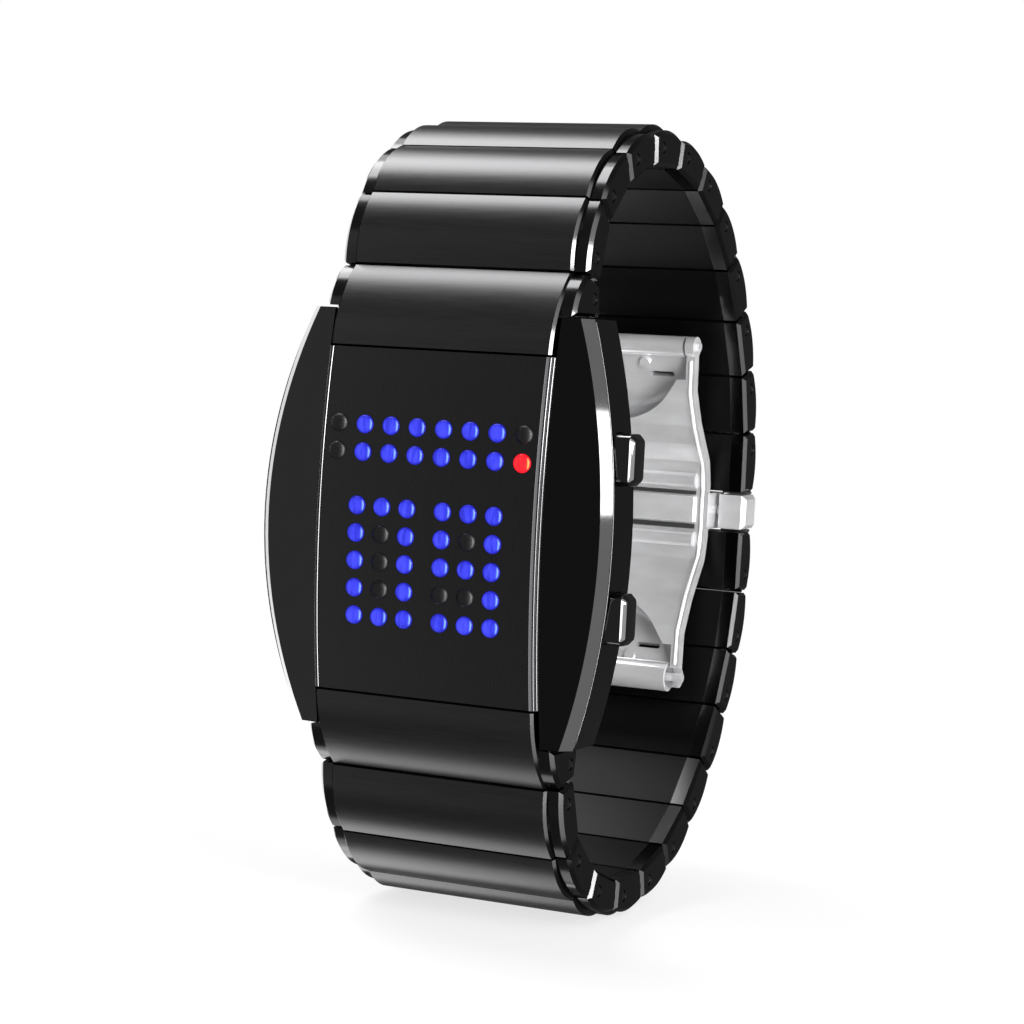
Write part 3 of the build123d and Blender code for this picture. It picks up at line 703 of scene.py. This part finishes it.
places = {"blue": [], "red": [], "dark": []}
for row, marks in enumerate(TOP_ROWS):
    for column, mark in enumerate(marks):
        x = (column - (len(marks) - 1) / 2) * TOP_PITCH
        places[LIT[mark]].append((x, TOP_ROW_HEIGHT - row * LED_ROW_PITCH))
for row, (first, second) in enumerate(zip(ZERO, NINE)):
    for column, mark in enumerate(first):
        x = -DIGIT_GAP / 2 - (len(first) - 1 - column) * DIGIT_PITCH
        places[LIT[mark]].append((x, DIGIT_ROW_HEIGHT - row * LED_ROW_PITCH))
    for column, mark in enumerate(second):
        x = DIGIT_GAP / 2 + column * DIGIT_PITCH
        places[LIT[mark]].append((x, DIGIT_ROW_HEIGHT - row * LED_ROW_PITCH))
print({colour: len(spots) for colour, spots in places.items()})

# %% [markdown]
# ## Every lens
# Each lens sits in its own hole, just clear of the plate, which is bent to a large radius from
# top to bottom, so the lenses follow that arc. Instances could repeat the one lens, but each
# reaches back to the flat board by its own length, so each copy has its own mesh. The lenses of
# one colour are joined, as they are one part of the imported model, and they take its place.

# %% Every lens
FRONT_RADIUS = 88.0 * MM
PLATE_FRONT = -9.0 * MM
SEAT_GAP = 0.01 * MM
BOARD_PLACE = -6.0 * MM


def lens_group(name, spots, node_name, paint):
    """Copies of the lens at these places, joined, in place of the plain LEDs."""
    copies = []
    for x, z in spots:
        copy = duplicate(lens)
        bend = FRONT_RADIUS - math.sqrt(FRONT_RADIUS**2 - z**2)
        seat = PLATE_FRONT - SEAT_GAP + bend
        for vertex in copy.data.vertices:
            at_foot = vertex.co.y > LENS_PROUD
            vertex.co.x += x
            vertex.co.z += z
            vertex.co.y = BOARD_PLACE if at_foot else vertex.co.y + seat
        copies.append(copy)
    group = joined(copies)
    fitted(group, name, paint, "case")
    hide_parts(node_name)
    print(name, len(spots), "lenses,", len(group.data.polygons), "faces")


lens_group("blue_lenses", places["blue"], "blue_leds", blue_lens)
lens_group("red_lenses", places["red"], "red_led", red_lens)
lens_group("dark_lenses", places["dark"], "dark_leds", dark_lens)
bpy.data.objects.remove(lens)

# %% [markdown]
# ## Rods along edges
# The plate's sides and the outer edge of the case's bevel are rounded over with a fine polished
# radius, and each one draws a thin bright line. Bevelling an edge of the solid would change its
# mesh, which stays as it is. So a fine rod follows each edge, half sunk in it: a curve with a
# round section, made a mesh. Its points lie on the bent front of the case.

# %% Rods along edges
ROD_SMOOTH_ANGLE = math.radians(50)
ROD_RESOLUTION = 3


def rod(name, points, radius):
    """A round rod through the points, closed at its ends."""
    line = bpy.data.curves.new(name, "CURVE")
    line.dimensions = "3D"
    line.bevel_depth = radius
    line.bevel_resolution = ROD_RESOLUTION
    line.use_fill_caps = True
    spline = line.splines.new("POLY")
    spline.points.add(len(points) - 1)
    for corner, point in zip(spline.points, points):
        corner.co = (*point, 1)
    made = bpy.data.objects.new(name, line)
    scene.collection.objects.link(made)
    only(made)
    bpy.ops.object.convert(target="MESH")
    bpy.ops.object.shade_smooth_by_angle(angle=ROD_SMOOTH_ANGLE)
    return bpy.context.object


def on_front(aside, depth_below, height, radius=FRONT_RADIUS):
    """A point on the bent front: its distance aside, its depth below the front, its height."""
    centre = PLATE_FRONT + FRONT_RADIUS
    return (aside, centre - math.sqrt((radius - depth_below) ** 2 - height**2), height)


# %% [markdown]
# ## Bright edges of the case
# Beside the plate the photo shows a double line at the right, and a single and broader one at
# the left. The bevel's edge follows the outline of the case, which is an arc seen from the
# front and is bent like the plate seen from the side. The points could be picked off the solid,
# but two formulas say where the edges are and give evenly spaced points.

# %% Bright edges of the case
SIDES = ((1, "right"), (-1, "left"))
STEPS = 48
PLATE_REACH = 14.2 * MM
BEVEL_REACH = 17.2 * MM
WALL_RADIUS = 87.05 * MM
BEVEL_DEEP = 0.8 * MM
BEVEL_LINE_SINK = 0.02 * MM
BEVEL_LINE_RADIUS = 0.06 * MM
OUTLINE_RADIUS = 49.2 * MM
CASE_HALF_WIDTH = 15.9 * MM
# Each line beside the plate: its distance aside, its depth below the front, its radius.
BEADS = {
    "right": ((9.93 * MM, 0.21 * MM, 0.12 * MM), (10.16 * MM, 0.38 * MM, 0.12 * MM)),
    "left": ((9.84 * MM, 0.15 * MM, 0.2 * MM),),
}
for side, word in SIDES:
    for number, (aside, below, thick) in enumerate(BEADS[word]):
        heights = [PLATE_REACH * (2 * step / STEPS - 1) for step in range(STEPS + 1)]
        line = [on_front(side * aside, below, height) for height in heights]
        name = f"plate_bead_{word}_{number + 1}"
        fitted(rod(name, line, thick), name, bead_black, "case")
    line = []
    for step in range(STEPS + 1):
        height = BEVEL_REACH * (2 * step / STEPS - 1)
        aside = CASE_HALF_WIDTH - OUTLINE_RADIUS + math.sqrt(OUTLINE_RADIUS**2 - height**2)
        line.append(on_front(side * (aside - BEVEL_LINE_SINK), BEVEL_DEEP, height, WALL_RADIUS))
    name = f"bevel_line_{word}"
    fitted(rod(name, line, BEVEL_LINE_RADIUS), name, bead_black, "case")
    print(word, "side:", len(BEADS[word]) + 1, "bright lines")

# %% [markdown]
# ## Bevel chosen edges
# A Bevel modifier would round every edge alike, or by its angle. To round only some, this
# helper asks of each edge whether its two ends meet a test, selects those that do, and bevels
# them in edit mode.


# %% Bevel chosen edges
def bevel_edges(piece, wanted, **bevel):
    """Bevel the edges whose two ends meet a test together."""
    only(piece)
    bpy.ops.object.mode_set(mode="EDIT")
    bpy.ops.mesh.select_mode(type="EDGE")
    bpy.ops.mesh.select_all(action="DESELECT")
    bpy.ops.object.mode_set(mode="OBJECT")
    points = piece.data.vertices
    for edge in piece.data.edges:
        edge.select = wanted(points[edge.vertices[0]].co, points[edge.vertices[1]].co)
    bpy.ops.object.mode_set(mode="EDIT")
    bpy.ops.mesh.bevel(**bevel)
    bpy.ops.object.mode_set(mode="OBJECT")


# %% [markdown]
# ## Head of a push-button
# A button's head is a stamped block with round corners and a polished chamfer round its end. It
# could be modelled face by face. Here a box gets its four long edges rounded, then the rim of
# its end bevelled twice: a wide flat chamfer first, and a fine radius on both edges that the
# chamfer leaves.

# %% Head of a push-button
BUTTON_ROOT = 15.45 * MM
BUTTON_END = 17.1 * MM
BUTTON_DEPTH = -5.35 * MM
BUTTON_THICK = 2.8 * MM
BUTTON_LONG = 4.2 * MM
CORNER_RADIUS = 0.8 * MM
CHAMFER = 0.42 * MM
FINE_RADIUS = 0.07 * MM
NEAR = 0.01 * MM
FAR = 1 * MM


def is_long(a, b):
    """Along the button, from its root to its end."""
    return abs(a.x - b.x) > FAR


def on_end(a, b):
    """Both ends on the button's end face."""
    return min(a.x, b.x) > BUTTON_END - NEAR


def is_rim(a, b):
    """Both ends on one of the two outlines that the chamfer leaves."""
    level = BUTTON_END - CHAMFER
    both_on_side = max(abs(a.x - level), abs(b.x - level)) < NEAR
    return on_end(a, b) or both_on_side


bpy.ops.object.select_all(action="DESELECT")
bpy.ops.mesh.primitive_cube_add(size=1)
button = bpy.context.object
button.name = "button"
button.scale = (BUTTON_END - BUTTON_ROOT, BUTTON_THICK, BUTTON_LONG)
button.location = ((BUTTON_END + BUTTON_ROOT) / 2, BUTTON_DEPTH, 0)
bpy.ops.object.transform_apply(location=True, rotation=False, scale=True)
bevel_edges(button, is_long, offset=CORNER_RADIUS, segments=6, profile=0.5)
bevel_edges(button, on_end, offset=CHAMFER, segments=1)
bevel_edges(button, is_rim, offset=FINE_RADIUS, segments=3)
print("head of a button:", len(button.data.polygons), "faces")

# %% [markdown]
# ## Both push-buttons
# Behind the head a round stem runs through the wall of the case to the switch. It could ride on
# the button as a piece of its own, but it is one part with the head, so the two are joined. The
# whole is copied to both buttons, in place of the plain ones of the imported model.

# %% Both push-buttons
BUTTON_HEIGHT = 6.4 * MM
STEM_RADIUS = 0.6 * MM
STEM_LONG = 5.2 * MM
STEM_MIDDLE = 12.95 * MM
BUTTON_SMOOTH_ANGLE = math.radians(25)

bpy.ops.mesh.primitive_cylinder_add(
    vertices=32,
    radius=STEM_RADIUS,
    depth=STEM_LONG,
    location=(STEM_MIDDLE, BUTTON_DEPTH, 0),
    rotation=(0, math.pi / 2, 0),
)
bpy.ops.object.transform_apply(location=True, rotation=True, scale=True)
stem = bpy.context.object
button = joined([button, stem])
bpy.ops.object.shade_smooth_by_angle(angle=BUTTON_SMOOTH_ANGLE)
for side, word in ((1, "upper"), (-1, "lower")):
    copy = duplicate(button)
    copy.data.transform(Matrix.Translation((0, 0, side * BUTTON_HEIGHT)))
    fitted(copy, f"{word}_push_button", button_black, f"{word}_button")
    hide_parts(f"{word}_button")
    print(copy.name, len(copy.data.polygons), "faces")
bpy.data.objects.remove(button)

# %% [markdown]
# ## Line of the hinges
# The bracelet's hinges stand on a line that leaves the case and bends round the wrist, the same
# above and below. An Array modifier on a curve could space the small parts, but each has to
# ride on its own link. So the line is walked hinge by hinge, turning by the heading of each
# link. The seam between two links lies a little before their hinge.

# %% Line of the hinges
HOURS = ((1, "12h"), (-1, "6h"))
HEADINGS = (0, 28, 55, 76, 94, 110, 125, 137.5, 148, 158, 169, 180)
FIRST_HINGE = Vector((0, -2.6 * MM, 19.1 * MM))
FIRST_PITCH = 3.3 * MM
PITCH = 5.9 * MM
SEAM_LEAD = 1.6 * MM

hinges = [FIRST_HINGE]
seams = []
for number, heading in enumerate(HEADINGS):
    before = HEADINGS[max(number - 1, 0)]
    mean = math.radians((before + heading) / 2)
    seams.append((hinges[-1] - Vector((0, math.sin(mean), math.cos(mean))) * SEAM_LEAD, mean))
    turn = math.radians(heading)
    step = PITCH if number else FIRST_PITCH
    hinges.append(hinges[-1] + Vector((0, math.sin(turn), math.cos(turn))) * step)
print("hinges:", len(HEADINGS), "on each side")

# %% [markdown]
# ## Pin heads
# Each link turns on a pin, and the pin's domed ends show in the link's ears. A dome could be
# turned from a profile, but it is small, and half of a flattened sphere is enough. It needs few
# faces, as there are 48 of them.

# %% Pin heads
HEAD_RADIUS = 0.48 * MM
HEAD_FLATNESS = 0.25

bpy.ops.object.select_all(action="DESELECT")
bpy.ops.mesh.primitive_uv_sphere_add(segments=24, ring_count=16, radius=HEAD_RADIUS)
head = bpy.context.object
keep_half(head, towards=(0, 0, 1))
head.scale = (1, 1, HEAD_FLATNESS)
head.rotation_euler = (0, math.pi / 2, 0)
bpy.ops.object.transform_apply(location=False, rotation=True, scale=True)
bpy.ops.object.shade_smooth_by_angle(angle=SMOOTH_ANGLE)
print("pin head:", len(head.data.polygons), "faces")

# %% [markdown]
# ## Seam rib
# Beside the hinge, the joint between two links is closed by a narrow rib on the one link, so
# that no light passes. Longer links would close it too, but they would run into each other
# where the bracelet opens. The rib is a slim box, and the face that it turns to the link before
# it has rounded edges.

# %% Seam rib
RIB_LONG = 5.9 * MM
RIB_THICK = 0.24 * MM
RIB_WIDE = 0.5 * MM
RIB_ASIDE = 8.15 * MM
RIB_OFFSET = 0.01 * MM
RIB_RADIUS = 0.08 * MM

bpy.ops.mesh.primitive_cube_add(size=1)
rib = bpy.context.object
rib.scale = (RIB_LONG, RIB_THICK, RIB_WIDE)
rib.location = (RIB_ASIDE, RIB_OFFSET, 0)
bpy.ops.object.transform_apply(location=True, rotation=False, scale=True)
bevel_edges(rib, lambda a, b: max(a.y, b.y) < 0, offset=RIB_RADIUS, segments=3)
bpy.ops.object.shade_smooth_by_angle(angle=SMOOTH_ANGLE)
print("seam rib:", len(rib.data.polygons), "faces")

# %% [markdown]
# ## Copies down the bracelet
# A link gets two heads on its pin and two ribs beside its seam, joined by kind, and both pieces
# ride on that link. All heads of the bracelet could be one piece, but then they wouldn't bend
# with it. The first link meets the case instead of a link, so it has no ribs.

# %% Copies down the bracelet
HEAD_SEAT = 11.185 * MM
HALF_TURN = Matrix.Rotation(math.pi, 4, "Z")


def placed(source, matrix):
    """A copy of a source object, moved by a matrix."""
    copy = duplicate(source)
    copy.data.transform(matrix)
    return copy


for side, hour in HOURS:
    for number in range(len(HEADINGS)):
        body = f"link_{hour}_{number + 1:02d}"
        spot = hinges[number].copy()
        spot.z *= side
        out = Vector((HEAD_SEAT, 0, 0))
        heads = [
            placed(head, Matrix.Translation(spot + out)),
            placed(head, Matrix.Translation(spot - out) @ HALF_TURN),
        ]
        name = f"pin_heads_{hour}_{number + 1:02d}"
        fitted(joined(heads), name, bead_black, body)
        if number == 0:
            continue
        spot, mean = seams[number][0].copy(), seams[number][1]
        spot.z *= side
        along = Vector((0, math.sin(mean), side * math.cos(mean)))
        outward = Vector((0, -math.cos(mean), side * math.sin(mean)))
        turned = Matrix((Vector((side, 0, 0)), along, outward)).transposed().to_4x4()
        other_side = Matrix.Translation(Vector((-2 * RIB_ASIDE * side, 0, 0)))
        ribs = [
            placed(rib, Matrix.Translation(spot) @ turned),
            placed(rib, Matrix.Translation(spot) @ other_side @ turned),
        ]
        name = f"seam_ribs_{hour}_{number + 1:02d}"
        fitted(joined(ribs), name, black_mirror, body)
bpy.data.objects.remove(head)
bpy.data.objects.remove(rib)
print("pin heads and seam ribs:", len(HEADINGS) * 4 - 2)

# %% [markdown]
# ## Cover and strips of the clasp
# The pusher block carries a polished cover that faces the wrist. Narrow dark strips lie beside
# it on the sheet: dark things put there as painted shade, where the gaps between the block and
# the sheet lie in shadow. Lines of colour could stand for them, but only real edges catch the
# light. Each is a box with rounded edges, a hair off the sheet.

# %% Cover and strips of the clasp
SHEET_FRONT = 34.4 * MM
SHEET_GAP = 0.005 * MM
FITTING_REACH = 7.1 * MM
COVER_PROUD = 0.45 * MM
COVER_HEIGHTS = (-1.15 * MM, 1.35 * MM)
COVER_RADIUS = 0.18 * MM
# The dark strips are painted shade in the gaps beside the block.
SHADE_STRIP_PROUD = 0.1 * MM
SHADE_STRIP_HEIGHTS = ((1.5 * MM, 1.85 * MM), (-1.75 * MM, -1.3 * MM), (-4.05 * MM, -3.75 * MM))
SHADE_STRIP_RADIUS = 0.03 * MM


def block(spans, radius):
    """A box with rounded edges; spans are its two ends along X, Y and Z."""
    bpy.ops.object.select_all(action="DESELECT")
    bpy.ops.mesh.primitive_cube_add(size=1)
    made = bpy.context.object
    made.scale = [end - start for start, end in spans]
    made.location = [(start + end) / 2 for start, end in spans]
    bpy.ops.object.transform_apply(location=True, rotation=False, scale=True)
    bpy.ops.object.mode_set(mode="EDIT")
    bpy.ops.mesh.select_all(action="SELECT")
    bpy.ops.mesh.bevel(offset=radius, segments=3)
    bpy.ops.object.mode_set(mode="OBJECT")
    bpy.ops.object.shade_smooth_by_angle(angle=SMOOTH_ANGLE)
    return made


across = (-FITTING_REACH, FITTING_REACH)
deep = (SHEET_FRONT - COVER_PROUD, SHEET_FRONT - SHEET_GAP)
cover = block((across, deep, COVER_HEIGHTS), COVER_RADIUS)
fitted(cover, "block_cover", polished_steel, "clasp_frame")
deep = (SHEET_FRONT - SHADE_STRIP_PROUD, SHEET_FRONT - SHEET_GAP)
# Strips of black plastic as painted shade in the gaps beside the block.
for number, heights in enumerate(SHADE_STRIP_HEIGHTS):
    shade_strip = block((across, deep, heights), SHADE_STRIP_RADIUS)
    name = f"painted_shade_strip_{number + 1}"
    fitted(shade_strip, name, black_plastic, "clasp_frame")
print("cover and", len(SHADE_STRIP_HEIGHTS), "strips")

# %% [markdown]
# ## Bars of the clasp
# A half-round bar above and below the block stiffens the thin sheet. A whole cylinder sunk in
# the sheet would look the same but overlap it. So a cylinder is laid across and cut through its
# middle, and the half towards the wrist is kept.

# %% Bars of the clasp
BAR_RADIUS = 0.75 * MM
BAR_HEIGHTS = {"upper": 2.85 * MM, "lower": -2.75 * MM}

for word, height in BAR_HEIGHTS.items():
    bpy.ops.object.select_all(action="DESELECT")
    bpy.ops.mesh.primitive_cylinder_add(
        vertices=40, radius=BAR_RADIUS, depth=2 * FITTING_REACH, rotation=(0, math.pi / 2, 0)
    )
    bar = bpy.context.object
    bpy.ops.object.transform_apply(location=False, rotation=True, scale=True)
    keep_half(bar, towards=(0, -1, 0))
    bar.data.transform(Matrix.Translation((0, SHEET_FRONT - SHEET_GAP, height)))
    bpy.ops.object.shade_smooth_by_angle(angle=SMOOTH_ANGLE)
    name = f"stiffening_bar_{word}"
    fitted(bar, name, polished_steel, "clasp_frame")
    print(name, len(bar.data.polygons), "faces")

# %% [markdown]
# ## Bright lines on the clasp's rails
# The edges of both rails are rounded and draw a bright line from barrel to barrel. Rounding the
# solid itself would change its mesh, so a rod follows each edge, as on the case. Its points give
# the upper half, and the lower half mirrors them.

# %% Bright lines on the clasp's rails
# Each point of the upper half: its depth and its height, in millimetres.
RAIL_LINE = ((29.45, 14.2), (29.6, 11.1), (31.2, 8.0), (32.45, 6.3), (33.95, 4.4), (34.4, 2.5))
RAIL_ASIDE = 7.7 * MM
RAIL_LINE_RADIUS = 0.16 * MM

half = [(y * MM, z * MM) for y, z in RAIL_LINE]
whole = half + [(y, -z) for y, z in reversed(half)]
for side, word in SIDES:
    line = [(side * RAIL_ASIDE, y, z) for y, z in whole]
    name = f"rail_line_{word}"
    rail_line = rod(name, line, RAIL_LINE_RADIUS)
    fitted(rail_line, name, rail_steel, "clasp_frame")
print("rail lines:", len(SIDES))

# %% [markdown]
# ## Pads on the end links
# The two end links face each other across the pusher block. A small dark pad at each end of
# their faces keeps them off the steel and closes the joint. One long pad could span the link,
# but it would run through the block. A pad is the same rounded box as the strips, and it rides
# on its link, so that it swings away when the clasp opens.

# %% Pads on the end links
PAD_ASIDE = (8.5 * MM, 11.1 * MM)
PAD_DEPTHS = (37.7 * MM, 38.7 * MM)
PAD_HEIGHTS = (1.69 * MM, 1.945 * MM)
PAD_RADIUS = 0.04 * MM

for hour_side, hour in HOURS:
    for side, word in SIDES:
        aside = sorted(side * end for end in PAD_ASIDE)
        heights = sorted(hour_side * end for end in PAD_HEIGHTS)
        pad = block((aside, PAD_DEPTHS, heights), PAD_RADIUS)
        name = f"end_pad_{hour}_{word}"
        fitted(pad, name, black_plastic, f"link_{hour}_12")
print("pads:", len(HOURS) * len(SIDES))

# %% [markdown]
# ## Put the finishes on the parts
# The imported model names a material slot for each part. Each part could be dressed by its own
# name, but the slots already say what it is made of, so they choose the finish. The links
# share the case's slot and get the satin finish instead.

# %% Put the finishes on the parts
BY_SLOT = {
    "black_steel": black_mirror,
    "brushed_black": brushed_black,
    "polished_steel": polished_steel,
    "bright_steel": bright_steel,
    "blue_lens": blue_lens,
    "red_lens": red_lens,
    "dark_lens": dark_lens,
    "board": board_green,
    "black_plastic": black_plastic,
    "seal_rubber": seal_rubber,
}
for name, node in nodes.items():
    slot = node.data.materials[0].name
    node.data.materials[0] = satin_black if name.startswith("link") else BY_SLOT[slot]
print("dressed", len(nodes), "nodes")

# %% [markdown]
# ## Sizes and end
# The box round the finished scene is written beside the box of the solids. The two should be
# almost the same, because the scene dresses the watch and doesn't resize it.

# %% Sizes and end
visual_box = [list(corner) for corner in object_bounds()]
for label, box in (("solids", cad_box), ("scene", visual_box)):
    print(label, [[round(value / MM, 2) for value in corner] for corner in box])
